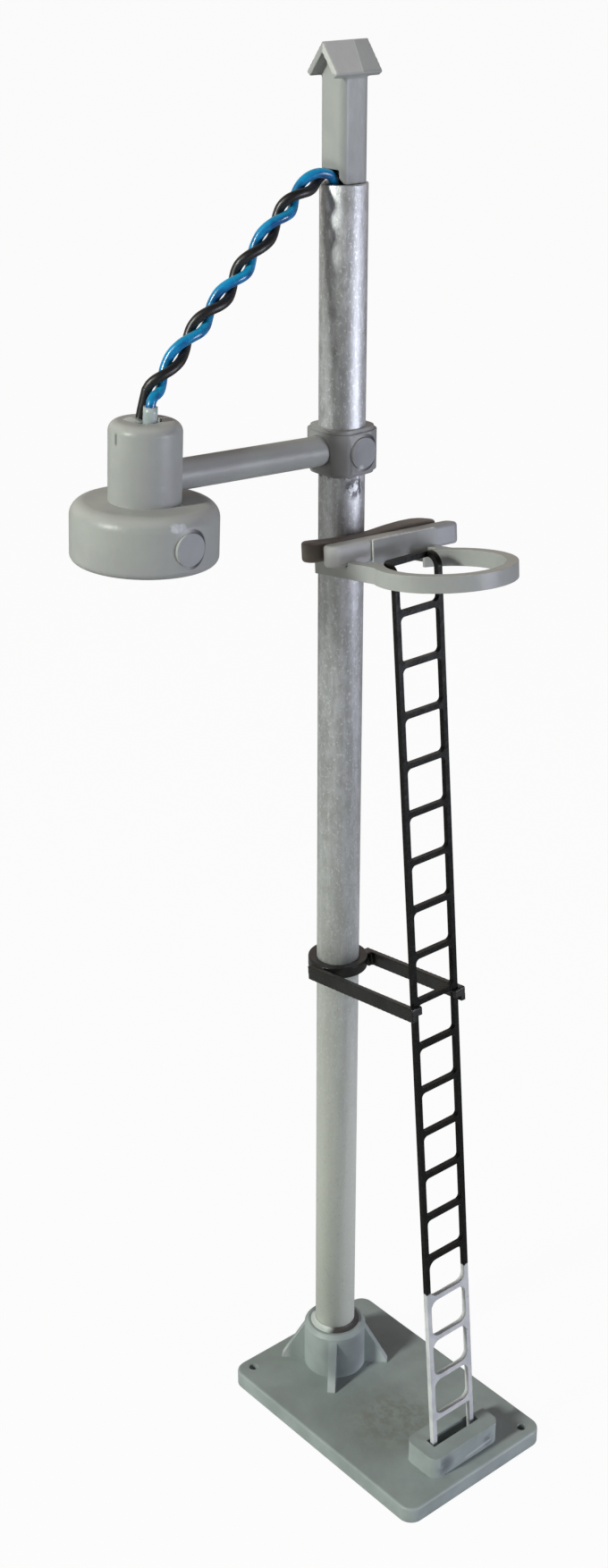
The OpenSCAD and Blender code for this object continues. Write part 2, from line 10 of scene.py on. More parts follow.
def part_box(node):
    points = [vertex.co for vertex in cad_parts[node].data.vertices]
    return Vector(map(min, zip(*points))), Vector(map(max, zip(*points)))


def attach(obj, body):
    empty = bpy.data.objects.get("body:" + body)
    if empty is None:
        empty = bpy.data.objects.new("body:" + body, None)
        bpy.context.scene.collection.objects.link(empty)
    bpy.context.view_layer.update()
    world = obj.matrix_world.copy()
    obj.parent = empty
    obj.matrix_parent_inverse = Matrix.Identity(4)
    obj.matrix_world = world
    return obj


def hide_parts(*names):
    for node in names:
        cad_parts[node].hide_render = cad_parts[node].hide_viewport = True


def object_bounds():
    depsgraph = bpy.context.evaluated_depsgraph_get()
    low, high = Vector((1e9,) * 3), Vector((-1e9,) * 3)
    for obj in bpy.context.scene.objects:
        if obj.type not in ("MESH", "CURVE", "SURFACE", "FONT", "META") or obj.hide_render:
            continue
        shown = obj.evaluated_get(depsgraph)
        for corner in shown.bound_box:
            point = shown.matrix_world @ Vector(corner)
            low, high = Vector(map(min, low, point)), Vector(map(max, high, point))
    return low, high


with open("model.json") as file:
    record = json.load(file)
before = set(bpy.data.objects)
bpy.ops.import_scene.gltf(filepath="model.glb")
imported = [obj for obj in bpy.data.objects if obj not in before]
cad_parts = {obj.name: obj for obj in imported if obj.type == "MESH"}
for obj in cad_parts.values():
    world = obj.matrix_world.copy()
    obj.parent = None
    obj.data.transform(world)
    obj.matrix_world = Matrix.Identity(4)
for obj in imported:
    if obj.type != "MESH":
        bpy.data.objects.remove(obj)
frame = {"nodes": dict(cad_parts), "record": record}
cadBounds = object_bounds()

mm = 0.001
nodes = frame["nodes"]
bodyOf = {node: body for body, members in frame["record"]["behaviour"]["bodies"].items() for node in members}


def newObject(name, data):
    made = bpy.data.objects.new(name, data)
    bpy.context.scene.collection.objects.link(made)
    return made


# Camera

view = {
    "position": (127.235, -112.922, 146.77),  # mm, in the model's frame
    "heading": 49.495,  # degrees round Z
    "fall": 24.828,  # degrees below the horizon
    "lens": 47.023,  # focal length in mm
    "nearest": 0.01,  # m; anything closer isn't drawn
}


def makeCamera():
    data = bpy.data.cameras.new("viewCamera")
    data.lens = view["lens"]
    data.clip_start = view["nearest"]
    camera = newObject("viewCamera", data)
    camera.location = Vector(view["position"]) * mm
    camera.rotation_euler = Euler((math.radians(90 - view["fall"]), 0, math.radians(view["heading"])))
    bpy.context.scene.camera = camera
    print("camera set")


# Shader maths: a socket that takes part in Python expressions

class Field:
    def __init__(self, tree, socket):
        self.tree = tree
        self.socket = socket

    def maths(self, operation, *values):
        return self.tree.add("ShaderNodeMath", {"operation": operation}, dict(enumerate(values)))

    def __add__(self, other):
        return self.maths("ADD", self, other)

    def __mul__(self, other):
        return self.maths("MULTIPLY", self, other)

    def __sub__(self, other):
        return self.maths("SUBTRACT", self, other)

    def __rsub__(self, other):
        return self.maths("SUBTRACT", other, self)

    def __truediv__(self, other):
        return self.maths("DIVIDE", self, other)

    def __rtruediv__(self, other):
        return self.maths("DIVIDE", other, self)

    def __pow__(self, other):
        return self.maths("POWER", self, other)

    def __rpow__(self, other):
        return self.maths("POWER", other, self)

    def __abs__(self):
        return self.maths("ABSOLUTE", self)

    __radd__ = __add__
    __rmul__ = __mul__

    def orMore(self, other):  # the larger of the two
        return self.maths("MAXIMUM", self, other)

    def step(self, low, high):  # 0 below low, 1 above high, smooth between
        return self.tree.add("ShaderNodeMapRange", {"interpolation_type": "SMOOTHSTEP"},
                             {"Value": self, "From Min": low, "From Max": high})


class Tree:  # the nodes of a material or a world
    def __init__(self, made):
        self.nodes = made.nodes
        self.links = made.links

    def feed(self, socket, value):  # a link or a plain value
        if isinstance(value, Field):
            self.links.new(value.socket, socket)
        else:
            socket.default_value = value

    def add(self, kind, settings, sockets, output=0):  # every node is made here
        node = self.nodes.new(kind)
        for name, value in settings.items():
            setattr(node, name, value)
        for name, value in sockets.items():
            self.feed(node.inputs[name], value)
        return Field(self, node.outputs[output])

    def blend(self, factor, first, second):  # two shaders
        return self.add("ShaderNodeMixShader", {}, {0: factor, 1: first, 2: second})


def opaque(colour):  # a plain colour gets its fourth number
    return colour if isinstance(colour, Field) else (*colour, 1)


class Finish(Tree):
    def __init__(self, name):
        self.material = bpy.data.materials.new(name)
        self.material.use_nodes = True
        super().__init__(self.material.node_tree)
        self.shader = self.nodes["Principled BSDF"]
        self.place = self.add("ShaderNodeTexCoord", {}, {}, "Object")

    def set(self, **values):  # baseColor=..., roughness=... on the shader itself
        names = {"baseColor": "Base Color", "roughness": "Roughness", "metallic": "Metallic",
                 "coatWeight": "Coat Weight", "coatRoughness": "Coat Roughness", "normal": "Normal",
                 "specular": "Specular IOR Level", "subsurface": "Subsurface Weight"}
        for name, value in values.items():
            self.feed(self.shader.inputs[names[name]], opaque(value) if name == "baseColor" else value)

    def along(self, letter):  # place along X, Y or Z, in mm
        return self.add("ShaderNodeSeparateXYZ", {}, {"Vector": self.place}, "XYZ".index(letter)) / mm

    def facing(self, letter):  # how far the surface faces along X, Y or Z, -1 to 1
        normal = self.add("ShaderNodeTexCoord", {}, {}, "Normal")
        return self.add("ShaderNodeSeparateXYZ", {}, {"Vector": normal}, "XYZ".index(letter))

    def noise(self, scale, detail=3, roughness=0.5):  # scale is per mm, one number or one for each axis
        scale = scale if isinstance(scale, tuple) else (scale,) * 3
        place = self.add("ShaderNodeMapping", {}, {"Vector": self.place, "Scale": [s / mm for s in scale]})
        sockets = {"Vector": place, "Scale": 1, "Detail": detail, "Roughness": roughness}
        return self.add("ShaderNodeTexNoise", {}, sockets, "Fac")

    def distance(self, centre):  # from a point, both in mm
        return self.add("ShaderNodeVectorMath", {"operation": "DISTANCE"},
                        {0: self.place, 1: [c * mm for c in centre]}, "Value") / mm

    def spot(self, centre, reach, soft=0.5):  # 1 near a point, fading to 0 at the reach
        return 1 - self.distance(centre).step(reach * (1 - soft), reach)

    def mix(self, factor, first, second):  # two colours
        return self.add("ShaderNodeMix", {"data_type": "RGBA"},
                        {0: factor, 6: opaque(first), 7: opaque(second)}, 2)

    def bump(self, height, depth, under=None):  # depth in mm; under is a coarser bump that this one rides on
        sockets = {"Height": height, "Distance": depth * mm, "Strength": 1}
        if under is not None:
            sockets["Normal"] = under
        return self.add("ShaderNodeBump", {}, sockets)


# Plastics

greys = {
    "light": (0.362, 0.376, 0.360),
    "cool": (0.325, 0.331, 0.331),
    "collar": (0.300, 0.304, 0.306),
    "shadow": (0.25, 0.25, 0.25),
    "base": (0.365, 0.414, 0.412),
    "baseDark": (0.282, 0.322, 0.318),
    "bar": (0.640, 0.645, 0.645),
    "barShade": (0.560, 0.566, 0.570),
    "rearBar": (0.185, 0.158, 0.135),
    "rearBarShade": (0.235, 0.205, 0.178),
    "dustAndTopLightTint": (0.620, 0.610, 0.585),
}

plastic = {
    "cloud": 0.22, "ripple": 0.9, "grain": 5.0,  # three layers of noise, per mm
    "rippleDepth": 0.05, "grainDepth": 0.008,  # mm
    "speck": 0.25, "speckPaler": 1.35,  # how much the pale specks show, and how pale they are
    "unevenShine": 0.16,
    "specular": 0.42,
}


def mouldedPlastic(name, colour, shade, roughness, marks=None, dustAndTopLight=0.0):
    finish = Finish(name)
    cloud = finish.noise(plastic["cloud"], 4, 0.55)
    grain = finish.noise(plastic["grain"], 4, 0.6)
    speck = [c * plastic["speckPaler"] for c in colour]
    tint = finish.mix(cloud.step(0.3, 0.7), colour, shade)
    tint = finish.mix(grain.step(0.62, 0.8) * plastic["speck"], tint, speck)
    normal = finish.bump(finish.noise(plastic["ripple"]), plastic["rippleDepth"])
    normal = finish.bump(grain, plastic["grainDepth"], normal)
    shine = cloud * plastic["unevenShine"] + (roughness - plastic["unevenShine"] / 2)
    if dustAndTopLight:  # dust, and painted light from above, on faces that look up
        tint = finish.mix(finish.facing("Z").step(0.35, 0.85) * dustAndTopLight, tint, greys["dustAndTopLightTint"])
    if marks:
        tint, shine = marks(finish, tint, shine)
    finish.set(baseColor=tint, roughness=shine, normal=normal, specular=plastic["specular"])
    return finish.material


discs = {  # the moulded round pads: centre and radius in mm
    "drum": ((6.1, -20.93, 96.5), 1.35),
    "collar": ((2.73, 0.15, 99.65), 1.35),
}
# pad: a darker tone on the pad's face; line: a painted shadow round the pad's far side
discPadAndShadow = {"pad": (0.235, 0.245, 0.275), "padShare": 0.5, "line": (0.020, 0.020, 0.026), "shadowShare": 0.9}


def discLine(finish, tint, which):  # a dull, darker pad, and a painted shadow along its far side
    centre, radius = discs[which]
    away = finish.distance(centre)
    near = finish.along("X").step(centre[0] - 0.9, centre[0] - 0.7)
    pad = 1 - away.step(radius - 0.05, radius + 0.02)
    tint = finish.mix(pad * near * discPadAndShadow["padShare"], tint, discPadAndShadow["pad"])
    # painted shadow of the raised pad, a dark ring on its far side
    ring = away.step(radius - 0.08, radius) * (1 - away.step(radius + 0.22, radius + 0.38))
    side = finish.along("Y").step(centre[1] - 0.5, centre[1] + 0.7)
    return finish.mix(ring * side * near * discPadAndShadow["shadowShare"], tint, discPadAndShadow["line"])


lampGlareAndNick = {  # places and reaches in mm
    "glare": (((5.8, -22.2, 98.4), 0.8), ((5.95, -21.5, 98.5), 0.6)),
    "glareTint": (0.70, 0.72, 0.77), "glareShare": 0.7,
    "nick": (0.15, -23.5, 104.5), "nickReach": 0.6, "nickTint": (0.09, 0.09, 0.09), "nickShare": 0.75,
}


def lampMarks(finish, tint, shine):  # a patchy painted highlight (glare) above the drum's pad and a nick on the chimney
    tint = discLine(finish, tint, "drum")
    glare = finish.noise(2.2, 4, 0.7) * -1.2 + 0.4
    for centre, reach in lampGlareAndNick["glare"]:
        glare = glare + finish.spot(centre, reach, 0.9) * 0.8
    glare = glare.step(0.1, 0.7)
    # painted highlight: where the glare falls the colour is paler
    tint = finish.mix(glare * lampGlareAndNick["glareShare"], tint, lampGlareAndNick["glareTint"])
    beside = abs(finish.along("X") - lampGlareAndNick["nick"][0])
    nick = finish.spot(lampGlareAndNick["nick"], lampGlareAndNick["nickReach"]) * (1 - beside.step(0.06, 0.2))
    return finish.mix(nick * lampGlareAndNick["nickShare"], tint, lampGlareAndNick["nickTint"]), shine - glare * 0.2


collarShadeAndGlint = {  # places and reaches in mm
    "stainAndShade": (1.9, -2.6, 99.2), "shadeReach": 3.0, "shadeTint": (0.12, 0.115, 0.115), "shadeShare": 0.75,
    "sideShadeTint": (0.15, 0.148, 0.155), "sideShadeShare": 0.35,
    "glint": (2.73, -0.2, 98.4), "glintReach": 0.4, "glintTint": (0.62, 0.63, 0.66), "glintShare": 0.7,
}


def collarMarks(finish, tint, shine):
    tint = discLine(finish, tint, "collar")
    # painted shade: a dark patch on the collar's -Y face beside the arm
    stainAndShade = finish.spot(collarShadeAndGlint["stainAndShade"], collarShadeAndGlint["shadeReach"], 0.7)
    tint = finish.mix(stainAndShade * collarShadeAndGlint["shadeShare"], tint, collarShadeAndGlint["shadeTint"])
    # painted shade on the faces that look towards -Y
    side = (finish.facing("Y") * -1).step(0.5, 0.9)
    tint = finish.mix(side * collarShadeAndGlint["sideShadeShare"], tint, collarShadeAndGlint["sideShadeTint"])
    # painted highlight at the lower left of the collar's pad
    glint = finish.spot(collarShadeAndGlint["glint"], collarShadeAndGlint["glintReach"], 0.8)
    return finish.mix(glint * collarShadeAndGlint["glintShare"], tint, collarShadeAndGlint["glintTint"]), shine


finialLinesLightAndShadow = {  # places in mm
    "joint": (0.28, 0.86),  # slant of the roof's joint line, and its place along Y
    "litSlopeTint": (0.80, 0.79, 0.75), "litSlopeShare": 0.4,
    "creaseTint": (0.75, 0.76, 0.75), "creaseShare": 0.45,
    "wireShadow": (-0.2, -1.45, 121.3), "wireShadowTint": (0.10, 0.11, 0.10), "wireShadowShare": 0.3,
}


def finialMarks(finish, tint, shine):
    slant, middle = finialLinesLightAndShadow["joint"]
    across = finish.along("X")
    height = finish.along("Z")
    side = finish.along("Y") + across * slant - middle  # which side of the moulding's joint line
    # painted light: the near half of the roof's +X slope, split at the moulding's joint line, is paler
    slope = height.step(129.95, 130.1) * across.step(0, 0.1)
    paler = (1 - side.step(-0.05, 0.05)) * slope
    tint = finish.mix(paler * finialLinesLightAndShadow["litSlopeShare"], tint, finialLinesLightAndShadow["litSlopeTint"])
    crease = 1 - abs(side).step(0.03, 0.1)
    tint = finish.mix(crease * slope * finialLinesLightAndShadow["creaseShare"], tint, finialLinesLightAndShadow["creaseTint"])
    # painted shadow of the wires: a dark arch on the post's -Y face
    away = finish.distance(finialLinesLightAndShadow["wireShadow"])
    wireShadow = away.step(1.2, 1.7) * (1 - away.step(1.75, 2.35))
    return finish.mix(wireShadow * finialLinesLightAndShadow["wireShadowShare"], tint, finialLinesLightAndShadow["wireShadowTint"]), shine


barLightShadeAndDust = {
    "dustAndTopLight": (0.34, 0.30, 0.275), "dustAndTopLightShare": 0.75,  # dust, and painted light from above, on top of the rear bar
    "far": (0.27, 0.275, 0.30), "farShadeShare": 0.8,  # painted shade towards the front bar's far end
    "farFrom": -1.0, "farTo": 5.5,  # mm along Y
}


def rearBarMarks(finish, tint, shine):
    # dust, and painted light from above, on the faces that look up
    dustAndTopLight = finish.facing("Z").step(0.3, 0.9)
    return finish.mix(dustAndTopLight * barLightShadeAndDust["dustAndTopLightShare"], tint, barLightShadeAndDust["dustAndTopLight"]), shine


def frontBarMarks(finish, tint, shine):  # painted shade, darker towards the far end; the end that stands clear of the flange stays pale
    far = finish.along("Y").step(barLightShadeAndDust["farFrom"], barLightShadeAndDust["farTo"])
    return finish.mix(far * barLightShadeAndDust["farShadeShare"], tint, barLightShadeAndDust["far"]), shine


baseMarksShadeAndHighlight = {  # places and reaches in mm
    "feet": (0.62, 0.66, 0.66), "feetShare": 0.5,  # the ribs' feet, paler
    "smudges": (((19.8, -2.9, 2.9), 1.5), ((19.8, 2.9, 2.6), 1.0)),  # on the ladder socket's front
    "smudgeTint": (0.09, 0.105, 0.125), "smudgeShare": 0.7,
    "streakHighlightTint": (0.60, 0.62, 0.66), "streakHighlightShare": 0.6,
    "ribShadow": (3.4, -1.0, 4.2), "ribShadowReach": 3.4, "ribShadowTint": (0.15, 0.17, 0.18), "ribShadowShare": 0.55,
    "rough": (10.5, -1.8, 1.7), "roughReach": 6.5, "roughTint": (0.220, 0.205, 0.170), "roughShare": 0.6,
    "topTint": (0.20, 0.225, 0.215), "topShare": 0.25,
}


def baseMarks(finish, tint, shine):
    wear = baseMarksShadeAndHighlight
    along, across, height = (finish.along(letter) for letter in "XYZ")
    out = (along * along + across * across) ** 0.5
    feet = out.step(4.4, 5.2) * (1 - out.step(5.56, 5.6)) * height.step(1.74, 1.8)
    tint = finish.mix(feet * wear["feetShare"], tint, wear["feet"])
    front = along.step(19.4, 19.5)
    # painted highlight along a line of flash on the ladder socket's front
    streak = abs(height - across * 0.08 - 2.15)
    streak = (1 - streak.step(0.08, 0.2)) * across.step(-0.6, 0.2) * (1 - across.step(3.0, 3.7)) * front
    left, right = (finish.spot(centre, reach, 0.8) for centre, reach in wear["smudges"])
    smudge = (left + right) * finish.noise(0.9).step(0.32, 0.55)
    tint = finish.mix(smudge * front * wear["smudgeShare"], tint, wear["smudgeTint"])
    tint = finish.mix(streak * wear["streakHighlightShare"], tint, wear["streakHighlightTint"])
    # painted shadow of the front rib on the socket's right side
    ribShadow = finish.spot(wear["ribShadow"], wear["ribShadowReach"]) * height.step(1.72, 1.9)
    tint = finish.mix(ribShadow * wear["ribShadowShare"], tint, wear["ribShadowTint"])
    rough = finish.spot(wear["rough"], wear["roughReach"], 0.8) * finish.noise(1.1, 4, 0.65).step(0.38, 0.62)
    tint = finish.mix(rough * wear["roughShare"], tint, wear["roughTint"])
    top = finish.facing("Z").step(0.6, 0.95)
    return finish.mix(top * wear["topShare"], tint, wear["topTint"]), shine + rough * 0.12


ladderLook = {
    "dark": (0.003, 0.003, 0.003), "worn": (0.011, 0.011, 0.010),
    "paint": (0.66, 0.67, 0.68), "paintShade": (0.54, 0.56, 0.58),
    "paintTop": 21.6, "blur": 0.08,  # mm: the paint's upper limit, and half the width of its edge
    "lean": -0.21,  # how that limit slants with the ladder
    "paintRoughness": 0.5,
}


def ladderPlastic(name):  # black, with white paint on the lowest rungs
    finish = Finish(name)
    fine = finish.noise(3.0, 4, 0.6)
    wave = finish.noise(0.7, 2)
    plain = finish.mix(fine.step(0.35, 0.75), ladderLook["dark"], ladderLook["worn"])
    roughness = wave * 0.25 + 0.2
    normal = finish.bump(wave, 0.06)
    normal = finish.bump(fine, 0.012, normal)
    edge = finish.along("Z") + finish.along("Y") * ladderLook["lean"] + (finish.noise(1.2, 2) - 0.5) * 0.7
    top, blur = ladderLook["paintTop"], ladderLook["blur"]
    painted = 1 - edge.step(top - blur, top + blur)
    thin = finish.noise(1.6, 3, 0.6).step(0.66, 0.8) * 0.45
    white = finish.mix(finish.noise(0.6).step(0.35, 0.65), ladderLook["paint"], ladderLook["paintShade"])
    tint = finish.mix(painted * (1 - thin), plain, white)
    roughness = painted * (ladderLook["paintRoughness"] - roughness) + roughness
    finish.set(baseColor=tint, roughness=roughness, normal=normal, specular=0.15)
    return finish.material


# Metal

tubeLook = {
    "bright": (0.66, 0.67, 0.70), "dull": (0.46, 0.47, 0.475), "low": (0.83, 0.86, 0.79),
    "stainAndShade": (0.05, 0.047, 0.05), "fleck": (0.92, 0.93, 0.95),
    "scuff": (1.98, -0.2, 96.6), "scuffReach": 1.3,  # mm
    "metallic": 0.75, "roughness": 0.36,
}


def drawnMetal(name):
    finish = Finish(name)
    height = finish.along("Z")
    lower = 1 - height.step(15, 80)
    streak = finish.noise((1.1, 1.1, 0.07), 4, 0.6)
    mottle = finish.noise((1.5, 1.5, 0.8), 5, 0.7)
    pits = finish.noise((7, 7, 4), 3, 0.6)
    colour = finish.mix((streak * 0.5 + mottle * 0.5).step(0.4, 0.62), tubeLook["dull"], tubeLook["bright"])
    colour = finish.mix(lower, colour, tubeLook["low"])
    colour = finish.mix(mottle.step(0.56, 0.7) * 0.4, colour, tubeLook["bright"])
    colour = finish.mix(pits.step(0.62, 0.74) * 0.35, colour, tubeLook["stainAndShade"])
    flecks = finish.noise((4.5, 4.5, 2.8), 3, 0.7).step(0.56, 0.64)
    colour = finish.mix(flecks * 0.55, colour, tubeLook["fleck"])
    ragged = finish.noise((1.6, 1.6, 0.9), 4, 0.7).step(0.45, 0.55)
    scuffed = finish.spot(tubeLook["scuff"], tubeLook["scuffReach"]) * ragged
    underCollar = height.step(97.2, 97.5) * (1 - height.step(97.7, 97.75)) * ragged
    colour = finish.mix(scuffed.orMore(underCollar) * 0.85, colour, tubeLook["stainAndShade"])
    normal = finish.bump(mottle, 0.04)
    normal = finish.bump(streak, 0.015, normal)
    normal = finish.bump(pits, 0.012, normal)
    finish.set(baseColor=colour, roughness=mottle * 0.3 + tubeLook["roughness"] + lower * 0.1,
               metallic=tubeLook["metallic"] - lower * 0.45, normal=normal)
    return finish.material


def plainMetal(name, colour, roughness):
    finish = Finish(name)
    grain = finish.noise(4)
    finish.set(baseColor=finish.mix(grain, colour, [c * 0.8 for c in colour]), metallic=1,
               roughness=grain * 0.15 + roughness, normal=finish.bump(grain, 0.01))
    return finish.material


# Wires, lens and cement

def insulation(name, colour, shade, roughness, coat=0.3, lit=None):
    finish = Finish(name)
    soft = finish.noise(1.1, 2)
    fine = finish.noise(7)
    tint = finish.mix(soft.step(0.35, 0.65), colour, shade)
    if lit:  # painted light: clear insulation is paler on faces that look up
        tint = finish.mix(finish.facing("Z").step(0.1, 0.9) * 0.6, tint, lit)
    finish.set(baseColor=tint, roughness=fine * 0.12 + roughness, normal=finish.bump(soft, 0.03),
               coatWeight=soft * 0.1 + (coat - 0.05), coatRoughness=0.16)
    return finish.material


def milkyLens(name):
    finish = Finish(name)
    haze = finish.noise(0.8, 2)
    finish.set(baseColor=finish.mix(haze, (0.80, 0.81, 0.74), (0.70, 0.71, 0.66)),
               roughness=haze * 0.1 + 0.12, subsurface=0.3)
    return finish.material


cementLook = {
    "thin": (0.05, 0.045, 0.045), "white": (0.46, 0.50, 0.48), "whitePale": (0.60, 0.64, 0.62),
    "thickest": (-0.6, -2.2, 7.1), "reach": 2.4,  # mm
}


def driedCement(name):  # white only where it lies thick, on one side of the tube
    finish = Finish(name)
    lump = finish.noise(2.0)
    thick = finish.spot(cementLook["thickest"], cementLook["reach"], 0.35)
    white = finish.mix(lump, cementLook["white"], cementLook["whitePale"])
    finish.set(baseColor=finish.mix(thick, cementLook["thin"], white), roughness=lump * 0.2 + 0.4,
               normal=finish.bump(lump, 0.08))
    return finish.material


def makeMaterials():
    light, cool = greys["light"], greys["cool"]
    looks = {
        "base": mouldedPlastic("basePlastic", greys["base"], greys["baseDark"], 0.46, baseMarks),
        # the last number, or dustAndTopLight=, paints dust and light from above on faces that look up
        "pale": mouldedPlastic("palePlastic", light, cool, 0.40, dustAndTopLight=0.45),
        "bar": mouldedPlastic("barPlastic", greys["bar"], greys["barShade"], 0.40, frontBarMarks, 0.3),
        "lamp": mouldedPlastic("lampPlastic", light, cool, 0.40, lampMarks, 0.35),
        "collar": mouldedPlastic("collarPlastic", greys["collar"], greys["shadow"], 0.40, collarMarks, 0.3),
        "finial": mouldedPlastic("finialPlastic", light, cool, 0.40, finialMarks, 0.7),
        "dull": mouldedPlastic("dullPlastic", greys["rearBar"], greys["rearBarShade"], 0.5, rearBarMarks),
        "tube": drawnMetal("drawnTube"),
        "black": mouldedPlastic("stayMoulding", (0.008, 0.008, 0.0075), (0.017, 0.017, 0.016), 0.3),
        "ladder": ladderPlastic("ladderMoulding"),
        "blue": insulation("blueInsulation", (0.003, 0.215, 0.50), (0.003, 0.085, 0.26), 0.2, 0.25,
                           lit=(0.01, 0.40, 0.70)),
        "blackWire": insulation("blackInsulation", (0.007, 0.007, 0.008), (0.012, 0.012, 0.013), 0.38, 0.1),
        "whiteSleeve": insulation("paleSleeving", (0.34, 0.40, 0.41), (0.44, 0.50, 0.50), 0.3),
        "blackSleeve": insulation("blackSleeving", (0.010, 0.010, 0.010), (0.016, 0.016, 0.016), 0.4),
        "lens": milkyLens("milkyLens"),
        "leg": plainMetal("tinnedLeg", (0.55, 0.56, 0.58), 0.3),
        "solder": plainMetal("brightSolder", (0.60, 0.61, 0.63), 0.18),
        "cement": driedCement("driedCement"),
        "glue": insulation("driedGlue", (0.42, 0.43, 0.42), (0.52, 0.53, 0.52), 0.2),
        "flash": mouldedPlastic("paleFlash", (0.72, 0.73, 0.71), (0.60, 0.61, 0.60), 0.35),
    }
    print("materials made:", len(looks))
    return looks


# Meshes

def addPiece(name, mesh, node, look):
    piece = newObject(name, mesh)
    mesh.materials.clear()
    mesh.materials.append(look)
    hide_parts(node)
    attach(piece, bodyOf[node])
    return piece


def shadeSmooth(mesh):
    for face in mesh.polygons:
        face.use_smooth = True
    return mesh


def finishMesh(name, body):  # a bmesh becomes a smooth-shaded mesh
    mesh = bpy.data.meshes.new(name)
    body.to_mesh(mesh)
    body.free()
    return shadeSmooth(mesh)


def modified(name, mesh, modifiers):  # what the modifiers make of a mesh
    piece = newObject(name, mesh)
    for kind, settings in modifiers:
        modifier = piece.modifiers.new(kind.lower(), kind)
        for setting, value in settings.items():
            setattr(modifier, setting, value)
    bpy.context.view_layer.update()
    result = bpy.data.meshes.new_from_object(piece.evaluated_get(bpy.context.evaluated_depsgraph_get()))
    bpy.data.objects.remove(piece)
    return result


edges = {
    "merge": 0.0004,  # mm between points that become one
    "flat": 0.6,  # degrees between faces that become one
    "sharp": 32,  # degrees between faces whose edge is rounded
}


def softEdges(name, node, look, width, segments):  # the node's own shape with rounded edges
    mesh = nodes[node].data.copy()
    body = bmesh.new()
    body.from_mesh(mesh)
    bmesh.ops.remove_doubles(body, verts=body.verts, dist=edges["merge"] * mm)
    bmesh.ops.dissolve_limit(body, angle_limit=math.radians(edges["flat"]),
                             verts=body.verts, edges=body.edges)
    body.to_mesh(mesh)
    body.free()
    rounded = modified(name, shadeSmooth(mesh), [
        ("BEVEL", {"width": width * mm, "segments": segments, "limit_method": "ANGLE",
                   "angle_limit": math.radians(edges["sharp"])}),
        ("WEIGHTED_NORMAL", {"keep_sharp": False}),
    ])
    return addPiece(name, rounded, node, look)


def melted(name, node, look, grid, smoothing, keep):  # the node's own shape, worn round on every edge
    mesh = nodes[node].data.copy()
    mesh.transform(Matrix.Scale(1 / mm, 4))  # into mm and back, because the grid is given in mm
    worn = modified(name, mesh, [
        ("REMESH", {"mode": "VOXEL", "voxel_size": grid}),
        ("SMOOTH", {"factor": 0.5, "iterations": smoothing}),
        ("DECIMATE", {"ratio": keep}),
    ])
    worn.transform(Matrix.Scale(mm, 4))
    return addPiece(name, shadeSmooth(worn), node, look)


def lathe(name, outline, steps):  # outline: (radius, height) points in mm, closed
    body = bmesh.new()
    rings = []
    for step in range(steps):
        turn = 2 * math.pi * step / steps
        ring = [Vector((r * math.cos(turn), r * math.sin(turn), h)) for r, h in outline]
        rings.append([body.verts.new(point * mm) for point in ring])
    for here, there in zip(rings, [*rings[1:], rings[0]]):
        for place in range(len(outline)):
            follow = (place + 1) % len(outline)
            body.faces.new((here[place], there[place], there[follow], here[follow]))
    bmesh.ops.recalc_face_normals(body, faces=body.faces)
    return finishMesh(name, body)


def tubeAlong(name, path, radius, sides=28):  # path: points in mm; radius: a number or a function of 0 to 1
    body = bmesh.new()
    rings = []
    path = [Vector(p) for p in path]
    side = None
    for place, point in enumerate(path):
        ahead = (path[min(place + 1, len(path) - 1)] - path[max(place - 1, 0)]).normalized()
        if side is None:
            side = ahead.cross(Vector((0, 1, 0))).normalized()
        side = (side - ahead * side.dot(ahead)).normalized()
        up = ahead.cross(side)
        r = radius(place / (len(path) - 1)) if callable(radius) else radius
        rings.append([body.verts.new((point + side * r * math.cos(t) + up * r * math.sin(t)) * mm)
                      for t in (2 * math.pi * k / sides for k in range(sides))])
    for here, there in zip(rings, rings[1:]):
        for k in range(sides):
            follow = (k + 1) % sides
            body.faces.new((here[k], here[follow], there[follow], there[k]))
    body.faces.new(rings[0])
    body.faces.new(rings[-1])
    bmesh.ops.recalc_face_normals(body, faces=body.faces)
    return finishMesh(name, body)


# Rear bar

platform = {"height": 90.8, "pitch": 7.4, "roll": 2.9}  # its plane: mm up at the mast's axis, and degrees

rearBar = {
    "along": (-7.2, -5.6, -3.4, -1.2, 1.0, 3.0, 4.6, 6.0, 6.9, 7.6),  # mm
    "sink": (0.10, 0.16, 0.34, 0.46, 0.36, 0.12, 0.0, 0.0, 0.10, 0.22),  # mm that the top edge sinks there
    "reach": 0.9,  # mm above the middle line where the sinking is full
    "edge": 0.28,
    "cuts": 40,
}


def makeRearBar(look):
    piece = softEdges("platformRearBar", "platform_rear_bar", look, rearBar["edge"], 3)
    low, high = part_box("platform_rear_bar")
    body = bmesh.new()
    body.from_mesh(piece.data)
    for cut in range(1, rearBar["cuts"]):
        place = low.lerp(high, cut / rearBar["cuts"])
        bmesh.ops.bisect_plane(body, geom=body.verts[:] + body.edges[:] + body.faces[:],
                               plane_co=place, plane_no=(0, 1, 0))
    centre = (low + high) / 2
    for vert in body.verts:  # the bar is tilted, so height is taken from its own middle line
        middle = centre.z - (vert.co.y - centre.y) * math.tan(math.radians(platform["roll"]))
        share = min(max((vert.co.z - middle) / (rearBar["reach"] * mm), 0), 1)
        vert.co.z -= float(np.interp(vert.co.y / mm, rearBar["along"], rearBar["sink"])) * share * mm
    body.to_mesh(piece.data)
    body.free()


# Tube

tube = {
    "outer": 2.0, "wall": 0.45, "rim": 0.06,  # mm
    "corner": 0.3,  # how much of the rim its rounded corner cuts off
    "steps": 96,
}


